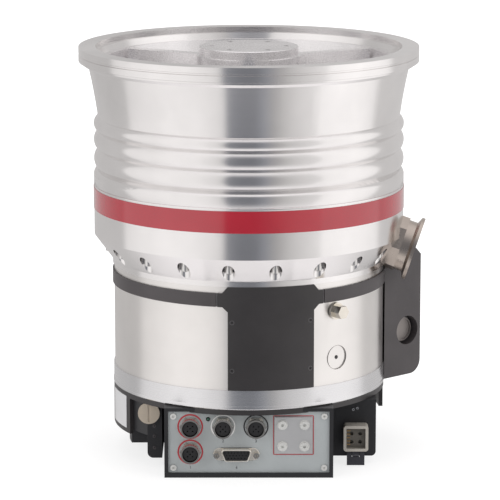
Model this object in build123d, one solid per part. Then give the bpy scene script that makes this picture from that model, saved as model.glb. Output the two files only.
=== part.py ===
"""Turbomolecular vacuum pump with an ISO-K inlet, a KF foreline port and its drive electronics underneath.

Millimetres, +Z up. The origin is on the pump axis, in the plane that the pump stands on.
The connector panel looks along -Y and the foreline port points along +X.
"""

from build123d import *
from math import cos, degrees, radians, sin
import os

os.makedirs("parts", exist_ok=True)

# ---------------------------------------------------------------- driving dimensions
running_gap = 0.5          # between the rotor and anything that stands still
seat_gap = 0.1             # between pieces that are slid or dropped together
trim_thickness = 0.4       # printed stripe and label
trim_gap = 0.05

# heights of the stack, from the floor up
electronics_height = 60.0
cover_drop = 4.0           # how far the electronics top lies inside the under ring
under_ring_height = 6.0
base_ring_height = 15.0
casing_height = 88.0
housing_height = 186.0

# inlet flange, ISO-K 250
flange_radius = 145.0
flange_thickness = 12.0
rim_groove = 1.0
inlet_radius = 130.5
inlet_depth = 5.0
flange_neck = 5.4          # height of the stepped neck below the rim
flange_step = 5.0          # overhang of the step past the neck

# upper housing
neck_radius = 136.5
waist_radius = 129.0
waist_depth = 59.5         # from the inlet face down to the first rib
rib_heights = (12.0, 15.8, 16.7)
rib_bulge = 3.6
band_radius = 132.8
band_lead = 6.0
cone_height = 21.2
foot_overhang = 1.2        # of the housing's foot past the casing
foot_height = 4.5
stage_bore = 117.0
foot_bore_top = 30.0       # height of the narrow bore above the housing's foot
throat_depth = 33.0

# red stripe
stripe_height = 18.4
stripe_drop = 11.8         # below the top of the band

# screws between the upper housing and the casing
flange_screw_count = 20
flange_screw_offset = 7.5  # of the screw circle from the casing's wall
flange_screw_turn = 1.3
pocket_radius = 5.4
flange_screw_head = 4.4
flange_screw_drop = 3.0    # from the housing's foot up to the screw head

# star that carries the upper bearing
star_hub_radius = 44.5
star_cap_radius = 42.3
star_cap_height = 8.0
star_drop = 10.0           # arms' top below the inlet face
star_arm_height = 16.0
star_arm_width = 11.0
star_arm_angles = (30.0, 150.0, 270.0)
star_ring_width = 5.0
cap_screw_count = 6
cap_screw_circle = 32.0
cap_screw_radius = 2.2
magnet_width = 5.0
magnet_drop = 3.0
magnet_cover = 8.0

# rotor
shaft_radius = 12.0
bell_radius = 50.0
blade_root = 60.0
blade_tip = 112.5
blade_thickness = 2.2
rotor_lead = 35.0          # from the inlet face down to the first stage
rotor_stage_heights = (20.0, 14.0, 10.0, 7.0, 6.0)
rotor_blade_counts = (24, 20, 20, 18, 18)
stator_stage_heights = (8.0, 7.0, 5.0, 4.0)
stator_blade_counts = (20, 20, 18, 18)
stage_gap = 1.6
hub_step = 4.0
blade_pitch = 42.0
stator_ring = 8.0
stator_hub_gap = 2.0
spacer_thickness = 3.4

# drag stage below the blades
sleeve_radius = 88.0
sleeve_thickness = 3.0
sleeve_length = 62.0
sleeve_disc = 8.0
drag_stator_length = 66.0
drag_groove_count = 8
drag_groove_depth = 4.0

# motor and lower bearing
bearing_housing_radius = 54.0
motor_stator_radius = 46.0
motor_stator_bore = 28.0
motor_stator_length = 34.0
motor_rotor_radius = 26.0
bearing_outer_radius = 24.0
bearing_height = 12.0
bearing_race = 3.2
ball_count = 9
ball_play = 0.12
bearing_lift = 14.0        # of the bearing above the base ring's underside

# casing below the upper housing
casing_radius = 116.0
casing_wall = 12.0
casing_floor = 13.0
base_ring_overhang = 1.0   # past the casing
base_chamfer = 1.5
strap_height = 11.5
strap_drop = 5.5           # strap's top below the casing's top
strap_thickness = 1.4
strap_gap_angle = 0.6

# curved cover plate on the front of the casing
plate_azimuth = -80.5
plate_half_angle = 18.1
plate_ear_angle = 22.4
plate_ear_chamfer = 4.5
plate_screw_rows = (17.0, 58.0)
plate_screw_inset = 3.6
plate_screw_radius = 1.8
plate_screw_height = 1.4

# foreline port, KF 40
port_azimuth = -7.0
port_tilt = 18.5           # below the horizontal
port_height = 19.5         # of the port axis above the housing's foot, where it leaves the wall
port_reach = 7.0           # from the casing's wall
port_bore = 20.0
port_collar = 24.0
port_collar_length = 9.5
port_neck = 22.0
port_neck_length = 7.0
kf_radius = 27.5
kf_edge = 2.8
kf_slope = 2.4
kf_recess_radius = 20.6
kf_recess_depth = 3.0

# vent screw and blind plug on the casing
vent_azimuth = -51.5
vent_height = 62.8         # above the casing's underside
vent_radius = 5.8
vent_length = 11.0
plug_azimuth = -50.5
plug_height = 22.4
plug_radius = 10.2

# housing on the right flank
flank_azimuth = 41.6
flank_half_width = 80.4
flank_reach = 13.3         # from the casing's wall
flank_drop = 2.5           # below the base ring's underside
flank_height = 110.0
flank_corner = 12.0
flank_chamfer = 7.0
flank_hole_radius = 12.7
flank_hole_height = 37.0   # above the base ring's underside
flank_hole_inset = 16.0    # from the outer face to the middle of the hole
flank_hole_depth = 9.0
flank_cap_radius = 10.6
flank_cap_height = 3.0

# drive electronics
box_width = 141.5
box_front = 108.0
box_back = 86.0
box_wall = 6.0
box_floor = 5.0
drum_inset = 13.0          # of the drum from the base ring's edge
drum_lift = 8.0
panel_width = 135.0
panel_height = 53.0
panel_thickness = 2.0
panel_lift = 4.0
panel_recess = 2.0
board_thickness = 1.6
board_lift = 9.0
board_inset = 12.0
standoff_radius = 3.5
capacitor_radius = 9.0
capacitor_height = 22.0
capacitor_spacing = 22.0

# skirts that hang from the under ring
skirt_thickness = 3.5
left_skirt_bottom = 25.0
left_skirt_span = (135.0, 210.0)
right_skirt_bottom = 33.0
right_skirt_span = (3.0, 34.0)

# round sockets on the panel: x, z and whether the socket has a long or a short nose
socket_places = ((-49.0, 43.8), (-49.0, 21.9), (-21.6, 43.5), (6.0, 43.5))
socket_shell_radius = 8.0
socket_bore_radius = 6.6
socket_length = 9.5
socket_nut_radius = 9.0
socket_nut_length = 2.5
insert_radius = 5.9
insert_recess = 1.5
pin_radius = 0.6
pin_circle = 3.0

# fifteen-way connector shell size
dsub_place = (-10.4, 19.9)
dsub_width = 25.0
dsub_height = 10.4
dsub_slope = 2.0
dsub_shell = 1.0
dsub_length = 5.8
dsub_flange_width = 39.2
dsub_flange_height = 12.6
dsub_flange_thickness = 0.9
dsub_screw_spacing = 33.3
dsub_screw_radius = 2.7
dsub_screw_length = 5.0

# blank plate over the spare slot
blank_place = (37.4, 36.4)
blank_size = 31.5
blank_thickness = 1.6
blank_screw_spacing = 18.5
blank_screw_radius = 3.6
blank_screw_height = 2.2
panel_screw_radius = 2.6
panel_screw_height = 1.4
panel_screw_inset = 4.3

# valve block and its coin-slot plug, left of the panel
valve_edge_inset = 16.0    # of the block's left side from the base ring's edge
valve_box_gap = 2.75
valve_front_inset = 43.0
valve_back = 24.0
valve_lift = 8.0
valve_step_width = 15.0
valve_step_top = 28.0
valve_corner = 5.0
coin_plug_shift = 2.65     # right of the block's middle
coin_plug_level = 47.5
coin_plug_radius = 9.2
coin_plug_height = 2.6
coin_slot = 1.6

# mains inlet, right of the panel
mains_width = 37.5
mains_front = 62.0
mains_back = 20.0
mains_lift = 6.6
mains_corner = 4.0
inlet_offset = 20.15       # of the inlet's middle from the electronics housing's side
inlet_level = 24.6
contact_spacing = 7.2
contact_radius = 1.6
inlet_width = 21.0
inlet_tall = 22.3
inlet_rim = 2.4
inlet_length = 12.0
inlet_insert_depth = 4.0
lever_width = 15.0
lever_bracket = 6.0
lever_knuckle = 2.7
lever_lift = 0.5
lever_thickness = 2.6
lever_gap = 0.4
lever_pin_radius = 1.5

# ---------------------------------------------------------------- levels that follow from the stack
under_ring_bottom = electronics_height - cover_drop
base_bottom = under_ring_bottom + under_ring_height
casing_bottom = base_bottom + base_ring_height
housing_bottom = casing_bottom + casing_height
inlet_face = housing_bottom + housing_height
cone_top = housing_bottom + foot_height + cone_height
band_top = inlet_face - waist_depth - sum(rib_heights) - band_lead
strap_top = housing_bottom - strap_drop
strap_bottom = strap_top - strap_height
stripe_top = band_top - stripe_drop
star_top = inlet_face - star_drop
star_bottom = star_top - star_arm_height
rotor_top = inlet_face - rotor_lead
bearing_bottom = base_bottom + bearing_lift
panel_face = box_front - panel_recess

# ---------------------------------------------------------------- radii and places that follow from the casing and the box
foot_radius = casing_radius + foot_overhang
foot_bore = casing_radius - casing_wall
flange_screw_circle = casing_radius + flange_screw_offset
base_ring_radius = casing_radius + base_ring_overhang
drum_radius = base_ring_radius - drum_inset
half_box = box_width / 2
valve_left = valve_edge_inset - base_ring_radius
valve_right = -half_box - valve_box_gap
valve_front = base_ring_radius - valve_front_inset
coin_plug_middle = (valve_left + valve_right) / 2 + coin_plug_shift
mains_right = half_box + mains_width
inlet_middle = half_box + inlet_offset

bodies = {}


def keep(name, shape):
    """Files a finished piece under its node name."""
    bodies[name] = shape
    return shape


# ---------------------------------------------------------------- helpers
def tube(outer, inner, low, high):
    """Ring about the pump axis between two heights. An inner radius of 0 gives a plain disc."""
    base = (Align.CENTER, Align.CENTER, Align.MIN)
    solid = Pos(0, 0, low) * Cylinder(outer, high - low, align=base)
    if inner > 0:
        solid -= Pos(0, 0, low) * Cylinder(inner, high - low, align=base)
    return solid


def turned(points):
    """Solid turned about the pump axis from (radius, height) corners."""
    return revolve(make_face(Polyline([(r, 0, z) for r, z in points], close=True)), Axis.Z)


def sector(outer, inner, low, high, start, end):
    """Part of a ring between two azimuths, in degrees."""
    corners = [(inner, 0, low), (outer, 0, low), (outer, 0, high), (inner, 0, high)]
    return Rot(0, 0, start) * revolve(make_face(Polyline(corners, close=True)), Axis.Z, end - start)


def facing(azimuth, reach, height, tilt=0.0):
    """Place on a flank: X runs along the wall, Y up and Z outwards, tilted down by tilt."""
    a, t = radians(azimuth), radians(tilt)
    outward = (cos(a) * cos(t), sin(a) * cos(t), -sin(t))
    origin = (reach * cos(a), reach * sin(a), height)
    return Plane(origin=origin, x_dir=(-sin(a), cos(a), 0), z_dir=outward).location


def peg(radius, length, start=0.0):
    """Cylinder that stands on its place's XY plane."""
    return Pos(0, 0, start) * Cylinder(radius, length, align=(Align.CENTER, Align.CENTER, Align.MIN))


def block(x_low, x_high, y_low, y_high, z_low, z_high):
    """Box between six planes."""
    middle = ((x_low + x_high) / 2, (y_low + y_high) / 2, (z_low + z_high) / 2)
    return Pos(*middle) * Box(x_high - x_low, y_high - y_low, z_high - z_low)


def around(count, shape, turn=0.0):
    """Copies of a shape spread evenly about the pump axis."""
    return Compound(children=[Rot(0, 0, turn + 360 / count * i) * shape for i in range(count)])


def group(shapes):
    """Several separate solids in one node."""
    return Compound(children=list(shapes))


# ---------------------------------------------------------------- upper housing
def housing_outline():
    """Edges of the housing's outer wall, from the inlet face down to the foot."""
    z = inlet_face
    rim_middle = z - flange_thickness / 2
    corners = [
        (flange_radius, z),
        (flange_radius, rim_middle + rim_groove),
        (flange_radius - rim_groove, rim_middle + rim_groove / 2),
        (flange_radius - rim_groove, rim_middle - rim_groove / 2),
        (flange_radius, rim_middle - rim_groove),
        (flange_radius, z - flange_thickness),
        (neck_radius + flange_step, z - flange_thickness - 1),
        (neck_radius + flange_step, z - flange_thickness - 2.4),
        (neck_radius + 2, z - flange_thickness - 3),
        (neck_radius, z - flange_thickness - flange_neck),
    ]
    waist = z - waist_depth
    edges = [Polyline([(r, 0, h) for r, h in corners])]
    top = corners[-1]
    middle_radius = (neck_radius + waist_radius) / 2 - 0.5
    edges.append(
        ThreePointArc((top[0], 0, top[1]), (middle_radius, 0, (top[1] + waist) / 2), (waist_radius, 0, waist))
    )
    level = waist
    for height in rib_heights:
        start, end = (waist_radius, 0, level), (waist_radius, 0, level - height)
        edges.append(ThreePointArc(start, (waist_radius + rib_bulge, 0, level - height / 2), end))
        level -= height
    quarter = (band_radius - (band_radius - waist_radius) * 0.3, 0, level - band_lead * 0.3)
    edges.append(ThreePointArc((waist_radius, 0, level), quarter, (band_radius, 0, band_top)))
    lower = [
        (band_radius, band_top),
        (band_radius, cone_top),
        (foot_radius, housing_bottom + foot_height),
        (foot_radius, housing_bottom),
    ]
    edges.append(Polyline([(r, 0, h) for r, h in lower]))
    return edges


def housing_envelope():
    """The housing as if it were not bored."""
    edges = housing_outline()
    closing = [(foot_radius, housing_bottom), (0, housing_bottom), (0, inlet_face), (flange_radius, inlet_face)]
    edges.append(Polyline([(r, 0, h) for r, h in closing]))
    return revolve(make_face([edge for line in edges for edge in line.edges()]), Axis.Z)


envelope = housing_envelope()
bore_step = housing_bottom + foot_bore_top
throat = inlet_face - throat_depth
housing_bore = turned([
    (0, inlet_face + 1),
    (inlet_radius, inlet_face + 1),
    (inlet_radius, inlet_face - inlet_depth),
    (inlet_radius - 2, inlet_face - inlet_depth),
    (stage_bore, throat),
    (stage_bore, bore_step),
    (foot_bore, bore_step),
    (foot_bore, housing_bottom - 1),
    (0, housing_bottom - 1),
])

port_place = facing(port_azimuth, casing_radius + port_reach, housing_bottom + port_height, port_tilt)
port_channel = port_place * peg(port_bore, 2 * casing_wall + 20, -casing_wall - 20)
pocket = Pos(flange_screw_circle, 0, housing_bottom - 1) * peg(pocket_radius, cone_top - housing_bottom + 1)
front_turn = -90 + flange_screw_turn + 180 / flange_screw_count
pockets = around(flange_screw_count, pocket, front_turn)
keep("upper_housing", envelope - housing_bore - pockets - port_channel)

stripe_bottom = stripe_top - stripe_height
stripe_inner = band_radius + trim_gap
keep("colour_stripe", tube(stripe_inner + trim_thickness, stripe_inner, stripe_bottom, stripe_top))


def flange_screw():
    """Cap screw that is driven upwards, with a hexagon socket in the end of its head."""
    low = housing_bottom + flange_screw_drop
    head = peg(flange_screw_head, cone_top - low, low)
    socket = extrude(Pos(0, 0, low) * RegularPolygon(flange_screw_head * 0.5, 6), flange_screw_head * 0.7)
    return Pos(flange_screw_circle, 0, 0) * (head - socket)


port_clearance = port_place * peg(port_collar + 2, 60, -30)
screws = [Rot(0, 0, front_turn + 360 / flange_screw_count * i) * flange_screw() for i in range(flange_screw_count)]
keep("housing_screws", group(s for s in screws if (s & port_clearance).volume < 0.01))

# ---------------------------------------------------------------- foreline port
port_end = port_collar_length + port_neck_length
kf_face = port_end + kf_slope + kf_edge
collar = extrude(RegularPolygon(port_collar, 8), port_collar_length + 25)
collar = port_place * (Pos(0, 0, -25) * collar - peg(port_bore, 60, -30)) - envelope
collar -= tube(casing_radius + strap_thickness + seat_gap, 0, housing_bottom - 30, housing_bottom)
keep("foreline_collar", max(collar.solids(), key=lambda s: s.volume))
neck_profile = [
    (port_bore, port_collar_length),
    (port_neck, port_collar_length),
    (port_neck, port_end),
    (kf_radius, port_end + kf_slope),
    (kf_radius, kf_face),
    (kf_recess_radius, kf_face),
    (kf_recess_radius, kf_face - kf_recess_depth),
    (port_bore, kf_face - kf_recess_depth),
]
keep("foreline_flange", port_place * turned(neck_profile))

# ---------------------------------------------------------------- star with the upper bearing
throat_slope = (inlet_radius - 2 - stage_bore) / (throat_depth - inlet_depth)
star_seat = inlet_radius - 2 - throat_slope * (star_drop - inlet_depth)
star_foot = star_seat - throat_slope * star_arm_height
star = turned([
    (star_seat - star_ring_width, star_top), (star_seat - seat_gap, star_top),
    (star_foot - seat_gap, star_bottom), (star_seat - star_ring_width - 3, star_bottom),
])
star_arm_end = star_foot - 1.5
for angle in star_arm_angles:
    arm = block(star_hub_radius - 4, star_arm_end, -star_arm_width / 2, star_arm_width / 2, star_bottom, star_top)
    star += Rot(0, 0, angle) * arm
cap_bottom = inlet_face - star_cap_height
star += tube(star_hub_radius, 0, star_bottom - 4, cap_bottom)

cap_holes = around(cap_screw_count, Pos(cap_screw_circle, 0, cap_bottom) * peg(cap_screw_radius, star_cap_height + 1))
cap = tube(star_cap_radius, 0, cap_bottom, inlet_face - 0.4)
cap = chamfer(cap.edges().filter_by(GeomType.CIRCLE).group_by(Axis.Z)[-1], 0.6) - cap_holes
keep("star_cap", cap)
cap_screw = Pos(cap_screw_circle, 0, cap_bottom) * peg(cap_screw_radius - seat_gap, star_cap_height - 2)
keep("star_cap_screws", around(cap_screw_count, cap_screw))
magnet_low = star_bottom - magnet_drop
magnet_roof = cap_bottom - magnet_cover
magnet_high = magnet_roof - 1
magnet_split = shaft_radius + magnet_width
magnet_outer = magnet_split + magnet_width
star -= tube(magnet_outer, 0, star_bottom - 5, magnet_roof)
keep("bearing_star", star)
keep("bearing_magnets_fixed", tube(magnet_outer, magnet_split, magnet_low, magnet_roof))
keep("bearing_magnets_turning", tube(magnet_split - running_gap, shaft_radius, magnet_low, magnet_high))


# ---------------------------------------------------------------- bladed stages
def blades(count, height, inner, outer, low, lean):
    """Flat blades set at an angle between two radii, spread about the axis."""
    pitch = radians(blade_pitch)
    chord = (height - blade_thickness * cos(pitch)) / sin(pitch)
    blade = Rot(lean * blade_pitch, 0, 0) * Box(outer - inner, chord, blade_thickness)
    return around(count, Pos((inner + outer) / 2, 0, low + height / 2) * blade)


def polygon_ring(outer, inner, low, high, sides, round_outside=False):
    """Ring with flat facets on the side where its blades stand."""
    height = high - low
    if round_outside:
        flats = extrude(Pos(0, 0, low) * RegularPolygon(inner, sides, major_radius=False), height)
        return tube(outer, 0, low, high) - flats
    flats = extrude(Pos(0, 0, low) * RegularPolygon(outer, sides, major_radius=False), height)
    return flats - tube(inner, 0, low, high)


level = rotor_top
stage_tops = []
stator_tops = []
for index, height in enumerate(rotor_stage_heights):
    stage_tops.append(level)
    low = level - height
    ring = polygon_ring(blade_root, bell_radius, low, level, rotor_blade_counts[index])
    fan = blades(rotor_blade_counts[index], height, blade_root - 3.0, blade_tip, low, 1)
    stage = ring + fan
    level = low - stage_gap
    if index < len(stator_stage_heights):
        stator_tops.append(level)
        stator_height = stator_stage_heights[index]
        low = level - stator_height
        inner = stage_bore - stator_ring
        ring = polygon_ring(stage_bore - seat_gap, inner, low, level, stator_blade_counts[index], True)
        fan = blades(stator_blade_counts[index], stator_height, blade_root + stator_hub_gap, inner + 4.0, low, -1)
        keep(f"stator_stage_{index + 1}", ring + fan)
        level = low - stage_gap
        stage += tube(blade_root - hub_step, bell_radius, level, stage_tops[-1] - height)
    keep(f"rotor_stage_{index + 1}", stage)

rotor_bottom = stage_tops[-1] - rotor_stage_heights[-1]
spacer_inner = stage_bore - spacer_thickness
spacer_tops = [stator_tops[0] + 14.0] + [t - h for t, h in zip(stator_tops, stator_stage_heights)]
spacer_ends = stator_tops + [bore_step]
rings = [tube(stage_bore - seat_gap, spacer_inner, low, high) for high, low in zip(spacer_tops, spacer_ends)]
keep("stator_spacers", group(rings))

# ---------------------------------------------------------------- rotor core and drag stage
disc_bottom = rotor_bottom - sleeve_disc
sleeve_low = disc_bottom - sleeve_length
keep("rotor_bell", tube(bell_radius, shaft_radius, rotor_bottom, rotor_top))
sleeve = tube(sleeve_radius, shaft_radius, disc_bottom, rotor_bottom)
sleeve += tube(sleeve_radius, sleeve_radius - sleeve_thickness, sleeve_low, rotor_bottom)
keep("drag_sleeve", sleeve)

drag_outer = foot_bore - seat_gap
drag_inner = sleeve_radius + running_gap
drag_top = min(disc_bottom - 2.0, bore_step)
drag = tube(drag_outer, drag_inner, drag_top - drag_stator_length, drag_top)
groove = Pos(drag_inner, 0, drag_top - drag_stator_length / 2) * (
    Rot(25, 0, 0) * Box(2 * drag_groove_depth, 12, drag_stator_length * 1.5)
)
drag -= around(drag_groove_count, groove)
keep("drag_stator", drag)

# ---------------------------------------------------------------- casing, base and lower bearing
cavity = casing_radius - casing_wall
casing = tube(casing_radius, cavity, casing_bottom + casing_floor, housing_bottom)
casing += tube(casing_radius, bearing_housing_radius, casing_bottom, casing_bottom + casing_floor)
vent_place = facing(vent_azimuth, casing_radius, casing_bottom + vent_height)
plug_place = facing(plug_azimuth, casing_radius, casing_bottom + plug_height)
casing -= vent_place * peg(vent_radius * 0.6, 6, -5)
casing -= plug_place * peg(plug_radius, 8, -4)
keep("motor_casing", casing)

base = tube(base_ring_radius, bearing_housing_radius, base_bottom, casing_bottom)
base = chamfer(base.edges().filter_by(GeomType.CIRCLE).group_by(Axis.Z)[0].sort_by(SortBy.RADIUS)[-1:], base_chamfer)
keep("base_ring", base)

bearing_top = bearing_bottom + bearing_height
motor_low = bearing_top + 10.0
motor_high = motor_low + motor_stator_length
housing = tube(bearing_housing_radius - seat_gap, motor_stator_radius, motor_low, motor_high + 6)
housing += tube(bearing_housing_radius - seat_gap, bearing_outer_radius, bearing_bottom, motor_low)
housing += tube(bearing_housing_radius - seat_gap, 0, base_bottom, bearing_bottom)
keep("bearing_housing", housing)
keep("motor_stator", tube(motor_stator_radius - seat_gap, motor_stator_bore, motor_low, motor_high))
keep("motor_magnet", tube(motor_rotor_radius, shaft_radius, motor_low, motor_high))
keep("bearing_outer_race", tube(bearing_outer_radius, bearing_outer_radius - bearing_race, bearing_bottom, bearing_top))
keep("bearing_inner_race", tube(shaft_radius + bearing_race, shaft_radius, bearing_bottom + 1, bearing_top))
ball_circle = (bearing_outer_radius + shaft_radius) / 2
ball_radius = (bearing_outer_radius - shaft_radius) / 2 - bearing_race - ball_play
balls = around(ball_count, Pos(ball_circle, 0, (bearing_bottom + bearing_top) / 2) * Sphere(ball_radius))
keep("bearing_balls", balls)
shaft = tube(shaft_radius, 0, bearing_bottom + 1, rotor_bottom) + tube(shaft_radius, 0, rotor_bottom, magnet_high)
keep("rotor_shaft", shaft)
keep("casing_seal", tube(cavity + 8, cavity + 4, housing_bottom - 2, housing_bottom))
bodies["motor_casing"] -= tube(cavity + 8, cavity + 4, housing_bottom - 2, housing_bottom)

# ---------------------------------------------------------------- strap and curved cover plate
plate_mid = casing_radius + strap_thickness / 2
plate_half = plate_mid * sin(radians(plate_half_angle))
ear_half = plate_mid * sin(radians(plate_ear_angle))
shoulder = plate_half + plate_ear_chamfer
right_side = [
    (plate_half, casing_bottom + 0.4),
    (plate_half, strap_bottom - plate_ear_chamfer),
    (shoulder, strap_bottom),
    (ear_half, strap_bottom),
    (ear_half, strap_top),
    (shoulder, strap_top),
    (plate_half, housing_bottom),
]
outline = right_side + [(-x, z) for x, z in reversed(right_side)]
front = facing(plate_azimuth, 0, 0)
plate = front * (Pos(0, 0, 60) * extrude(make_face(Polyline(outline, close=True)), 80))
plate &= tube(casing_radius + strap_thickness + 0.5, casing_radius, casing_bottom, housing_bottom)
screw_angle = plate_half_angle - degrees(plate_screw_inset / casing_radius)
screw_places = [
    facing(plate_azimuth + side * screw_angle, casing_radius, casing_bottom + row)
    for side in (-1, 1)
    for row in plate_screw_rows
]
for place in screw_places:
    plate -= place * peg(plate_screw_radius + seat_gap, 6)
keep("casing_cover_plate", plate)
plate_screw = peg(plate_screw_radius, plate_screw_height) - peg(plate_screw_radius / 2, 1, plate_screw_height - 0.5)
keep("cover_plate_screws", group(place * plate_screw for place in screw_places))

strap_start = plate_azimuth + plate_ear_angle + strap_gap_angle
strap_end = plate_azimuth - plate_ear_angle - strap_gap_angle + 360
strap = sector(casing_radius + strap_thickness, casing_radius, strap_bottom, strap_top, strap_start, strap_end)

# ---------------------------------------------------------------- housing on the right flank
flank_frame = Rot(0, 0, flank_azimuth)
flank_top = base_bottom + flank_height
flank_bottom = base_bottom - flank_drop
flank_face = casing_radius + flank_reach
flank_root = casing_radius / 2
side_view = [
    (flank_root, flank_bottom),
    (flank_face, flank_bottom),
    (flank_face, flank_top - flank_chamfer),
    (flank_face - flank_chamfer, flank_top),
    (flank_root, flank_top),
]
flank = extrude(make_face(Polyline([(x, 0, z) for x, z in side_view], close=True)), flank_half_width, both=True)
corner_edges = flank.edges().filter_by(Axis.Y).filter_by_position(Axis.X, flank_face - 0.1, flank_face + 0.1)
flank = fillet(corner_edges.sort_by(Axis.Z)[0:1], flank_corner)
flank = flank_frame * flank
wall_clear = max(base_ring_radius, casing_radius + strap_thickness) + seat_gap
flank -= tube(wall_clear, 0, flank_bottom - 1, flank_top + 1)
flank -= tube(flange_screw_circle + pocket_radius + 1, 0, housing_bottom + flange_screw_drop / 2, flank_top + 1)
flank -= port_place * peg(port_collar + 2, 60, -30)
hole_place = flank_frame * Plane(
    origin=(flank_face - flank_hole_inset, -flank_half_width, base_bottom + flank_hole_height),
    x_dir=(1, 0, 0), z_dir=(0, -1, 0),
).location
flank -= hole_place * peg(flank_hole_radius, flank_hole_depth + 1, -flank_hole_depth)
keep("flank_housing", flank)
cap_floor = -flank_hole_depth
flank_cap = peg(flank_cap_radius, flank_cap_height, cap_floor)
flank_cap -= peg(flank_cap_radius - 1.4, 1.0, cap_floor + flank_cap_height - 1.0)
keep("flank_cap", hole_place * flank_cap)
keep("casing_strap", strap)

# ---------------------------------------------------------------- vent screw and blind plug
vent = peg(vent_radius + 1.4, 2.2, 0.6) + peg(vent_radius * 0.55, 4, -3)
knob = extrude(RegularPolygon(vent_radius, 6), vent_length - 2.8)
vent += Pos(0, 0, 2.8) * knob
keep("vent_screw", vent_place * vent)
plug = peg(plug_radius - seat_gap, 3.0, -4.0 + 0.05)
keep("blind_plug", plug_place * (plug - peg(1.3, 2, -2.5)))

# ---------------------------------------------------------------- drive electronics
recess_low = panel_lift
recess_high = panel_lift + panel_height
box = block(-half_box, half_box, -box_front, box_back, 0, electronics_height)
box += tube(drum_radius, 0, drum_lift, under_ring_bottom)
box -= tube(base_ring_radius + seat_gap, 0, under_ring_bottom, electronics_height + 1)
inner_half = half_box - box_wall
box -= block(-inner_half, inner_half, -panel_face + panel_thickness + 3, box_back - box_wall, box_floor,
             under_ring_bottom - 3)
box -= block(-panel_width / 2 - seat_gap, panel_width / 2 + seat_gap, -box_front - 1, -panel_face + panel_thickness,
             recess_low - seat_gap, recess_high + seat_gap)
valve_space = block(valve_left - seat_gap, -half_box, -drum_radius, -valve_back, drum_lift - 1, electronics_height)
mains_space = block(half_box, mains_right + seat_gap, -drum_radius, -mains_back, drum_lift - 1, electronics_height)
box -= valve_space
box -= mains_space

panel = block(-panel_width / 2, panel_width / 2, -panel_face, -panel_face + panel_thickness, recess_low, recess_high)
panel -= tube(base_ring_radius + seat_gap, 0, under_ring_bottom, electronics_height + 1)


def on_panel(x, z):
    """Place on the connector panel, with Z towards the front."""
    return facing(-90, panel_face, z) * Pos(x, 0, 0)


for x, z in socket_places:
    panel -= on_panel(x, z) * peg(socket_bore_radius, 10, -5)
panel -= on_panel(*dsub_place) * Box(dsub_width + 1, dsub_height + 1, 20)
keep("connector_panel", panel)

shell = peg(socket_shell_radius, socket_length) + extrude(RegularPolygon(socket_nut_radius, 6), socket_nut_length)
shell -= peg(socket_bore_radius, socket_length + 2, -1)
keep("round_socket_shells", group(on_panel(x, z) * shell for x, z in socket_places))
insert = peg(insert_radius, socket_length - insert_recess + 1, -1)
insert -= peg(pin_radius, 3, socket_length - insert_recess - 2.5)
for i in range(4):
    insert -= Rot(0, 0, 45 + 90 * i) * Pos(pin_circle, 0, 0) * peg(pin_radius, 3, socket_length - insert_recess - 2.5)
insert += peg(socket_bore_radius, 1.5, -1)
keep("round_socket_inserts", group(on_panel(x, z) * insert for x, z in socket_places))


def dsub_outline(grow):
    """Trapezoid outline of the connector, with the wide side up."""
    w, h, s = dsub_width / 2 + grow, dsub_height / 2 + grow, dsub_slope
    return make_face(Polyline([(-w, h), (w, h), (w - s, -h), (s - w, -h)], close=True))


dsub_spot = on_panel(*dsub_place)
dsub = extrude(Rectangle(dsub_flange_width, dsub_flange_height), dsub_flange_thickness)
dsub += extrude(dsub_outline(0), dsub_length)
dsub -= extrude(Pos(0, 0, -1) * dsub_outline(-dsub_shell), dsub_length + 2)
screw_spots = [Pos(side * dsub_screw_spacing / 2, 0, 0) for side in (-1, 1)]
for spot in screw_spots:
    dsub -= spot * peg(1.7, 3, -1)
keep("signal_connector_shell", dsub_spot * dsub)
core = extrude(Pos(0, 0, -2) * dsub_outline(-dsub_shell - 0.3), dsub_length + 1.4)
core_pins = [
    Pos(x * 2.7, y * 2.4, dsub_length - 2.4) * peg(0.55, 3)
    for y in (-1, 0, 1)
    for x in (range(-4, 5) if y == 0 else [v + 0.5 for v in range(-4, 4)])
]
for pin in core_pins:
    core -= pin
keep("signal_connector_core", dsub_spot * core)
jack = extrude(RegularPolygon(dsub_screw_radius, 6), dsub_screw_length) - peg(1.2, 4, dsub_screw_length - 3)
jack = Pos(0, 0, dsub_flange_thickness) * jack + peg(1.5, 1.0, 0)
keep("signal_connector_posts", group(dsub_spot * spot * jack for spot in screw_spots))

blank_spot = on_panel(*blank_place)
half_spacing = blank_screw_spacing / 2
blank_holes = [Pos(sx * half_spacing, sy * half_spacing, 0) for sx in (-1, 1) for sy in (-1, 1)]
keep("blank_plate", blank_spot * extrude(Rectangle(blank_size, blank_size), blank_thickness))
blank_screw = peg(blank_screw_radius, blank_screw_height, blank_thickness)
blank_screw -= peg(1.2, 2, blank_thickness + blank_screw_height - 1.2)
edge_x = panel_width / 2 - panel_screw_inset
edge_low, edge_high = recess_low + panel_screw_inset, recess_high - panel_screw_inset
corner_spots = [(sx * edge_x, z) for sx in (-1, 1) for z in (edge_low, edge_high)]
panel_screw = peg(panel_screw_radius, panel_screw_height) - peg(1.0, 1, panel_screw_height - 0.8)
small_screws = [on_panel(x, z) * panel_screw for x, z in corner_spots]
small_screws += [blank_spot * hole * blank_screw for hole in blank_holes]
keep("panel_screws", group(small_screws))

board_low = box_floor + board_lift
board_front = board_inset - panel_face
board_back = box_back - box_wall - board_inset / 3
board = block(-inner_half + 3, inner_half - 3, board_front, board_back, board_low, board_low + board_thickness)
capacitors = [
    Pos(x * capacitor_spacing, box_back / 3, board_low + board_thickness) * peg(capacitor_radius, capacitor_height)
    for x in (-1, 0, 1)
]
keep("circuit_board", board + capacitors)
for x in (board_inset - inner_half, inner_half - board_inset):
    for y in (board_front + board_inset, board_back - board_inset):
        box += Pos(x, y, box_floor) * peg(standoff_radius, board_lift)
keep("electronics_housing", box)

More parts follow.
